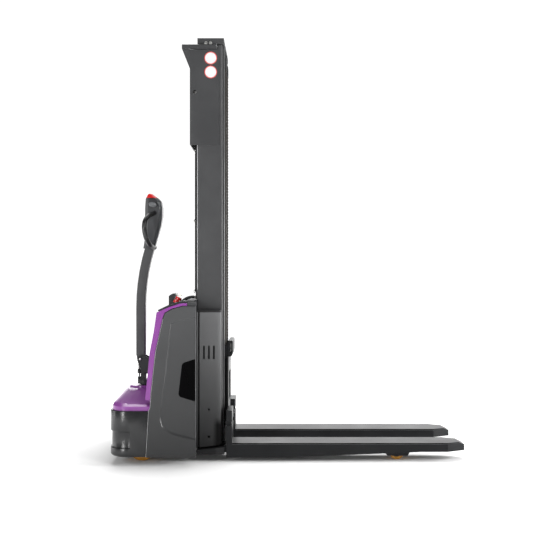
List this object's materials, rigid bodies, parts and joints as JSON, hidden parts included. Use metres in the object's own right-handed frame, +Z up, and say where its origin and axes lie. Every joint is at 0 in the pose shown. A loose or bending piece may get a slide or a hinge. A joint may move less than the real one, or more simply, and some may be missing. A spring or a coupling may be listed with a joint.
{
  "type": "pedestrian stacker",
  "caption": "Walk-behind electric lift truck with a two-stage mast, forks over straddle legs, a hollow power body, a steered drive wheel and a tilting tiller.",
  "frame": {"origin": "on the floor, in the middle of the overall length and width", "axes": "+X from the power body to the fork tips, +Y to the left, +Z up"},
  "size_m": [1.747, 0.8, 2.093],
  "materials": {
    "mast_steel": "fine textured dark grey paint",
    "cover_steel": "satin dark grey paint",
    "fork_steel": "satin near-black paint, rubbed on top",
    "body_panel": "satin moulded dark grey",
    "body_dark": "fine grained moulded charcoal",
    "body_purple": "glossy moulded purple",
    "clear_screen": "clear polished sheet",
    "black_strip": "black rubber strip",
    "barrel_steel": "black paint",
    "rod_chrome": "hard chrome",
    "chain_steel": "oiled leaf chain",
    "roller_steel": "ground steel",
    "amber_tyre": "amber polyurethane",
    "hub_iron": "painted cast iron",
    "castor_zinc": "zinc plated pressing",
    "chassis_steel": "black paint",
    "battery_case": "black moulded case",
    "pump_body": "cast and machined",
    "stop_red": "glossy red",
    "hose_rubber": "black hose",
    "tiller_dark": "charcoal paint",
    "head_plastic": "fine grained moulded charcoal",
    "grip_rubber": "soft black grip"
  },
  "bodies": {
    "root": {"outer_rails": "mast_steel", "mast_cross_members": "mast_steel", "guard_screen": "clear_screen", "screen_strips": "black_strip", "mast_shroud": "cover_steel", "top_shelf": "cover_steel", "mast_covers": "cover_steel", "lift_cylinders": "barrel_steel", "leg_left": "fork_steel", "leg_right": "fork_steel", "chassis_frame": "chassis_steel", "front_bumper": "body_dark", "hood": "body_purple", "front_cover": "body_purple", "dash": "body_dark", "side_panels": "body_panel", "battery": "battery_case", "hydraulic_unit": "pump_body", "emergency_stop": "stop_red", "mast_hoses": "hose_rubber"},
    "inner_mast": {"inner_rails": "mast_steel", "inner_cross_members": "mast_steel", "inner_rollers": "roller_steel", "lift_rods": "rod_chrome", "chains_rear": "chain_steel", "chains_front": "chain_steel"},
    "carriage": {"carriage_frame": "fork_steel", "roller_plates": "fork_steel", "load_rest": "fork_steel", "carriage_rollers": "roller_steel", "fork_left": "fork_steel", "fork_right": "fork_steel"},
    "drive": {"drive_unit": "hub_iron", "steering_post": "tiller_dark", "tiller_spring": "roller_steel"},
    "drive_wheel": {"drive_tyre": "amber_tyre", "drive_hub": "hub_iron"},
    "tiller": {"tiller_arm": "tiller_dark", "tiller_head": "head_plastic", "grips": "grip_rubber", "speed_paddles": "grip_rubber", "reverse_button": "stop_red"},
    "castor_left": {"castor_fork_left": "castor_zinc"},
    "castor_roller_left": {"castor_wheel_left": "amber_tyre"},
    "load_roller_left": {"load_wheel_left": "amber_tyre"},
    "castor_right": {"castor_fork_right": "castor_zinc"},
    "castor_roller_right": {"castor_wheel_right": "amber_tyre"},
    "load_roller_right": {"load_wheel_right": "amber_tyre"}
  },
  "joints": [
    {"name": "mast_lift", "type": "slide", "parent": "root", "child": "inner_mast", "axis": [0, 0, 1], "range_m": [0, 1.43]},
    {"name": "carriage_lift", "type": "slide", "parent": "inner_mast", "child": "carriage", "axis": [0, 0, 1], "range_m": [0, 1.43], "deforming": ["chains_front"]},
    {"name": "steer", "type": "hinge", "parent": "root", "child": "drive", "pos_m": [-0.74, 0, 0.24], "axis": [0, 0, 1], "range_deg": [-90, 90]},
    {"name": "drive_wheel_roll", "type": "hinge", "parent": "drive", "child": "drive_wheel", "pos_m": [-0.74, 0, 0.105], "axis": [0, 1, 0], "continuous": true},
    {"name": "tiller_tilt", "type": "hinge", "parent": "drive", "child": "tiller", "pos_m": [-0.762, 0, 0.47883], "axis": [0, -1, 0], "range_deg": [0, 80], "stiffness_Nm_per_rad": 20, "springref_deg": -22.92},
    {"name": "castor_swivel_left", "type": "hinge", "parent": "root", "child": "castor_left", "pos_m": [-0.683, 0.242, 0.15], "axis": [0, 0, 1], "continuous": true},
    {"name": "castor_roll_left", "type": "hinge", "parent": "castor_left", "child": "castor_roller_left", "pos_m": [-0.721, 0.242, 0.065], "axis": [0, 1, 0], "continuous": true},
    {"name": "load_roll_left", "type": "hinge", "parent": "root", "child": "load_roller_left", "pos_m": [0.5385, 0.2, 0.037], "axis": [0, 1, 0], "continuous": true},
    {"name": "castor_swivel_right", "type": "hinge", "parent": "root", "child": "castor_right", "pos_m": [-0.683, -0.242, 0.15], "axis": [0, 0, 1], "continuous": true},
    {"name": "castor_roll_right", "type": "hinge", "parent": "castor_right", "child": "castor_roller_right", "pos_m": [-0.721, -0.242, 0.065], "axis": [0, 1, 0], "continuous": true},
    {"name": "load_roll_right", "type": "hinge", "parent": "root", "child": "load_roller_right", "pos_m": [0.5385, -0.2, 0.037], "axis": [0, 1, 0], "continuous": true}
  ],
  "couplings": [
    {"joint": "carriage_lift", "follows": "mast_lift", "ratio": 1}
  ]
}
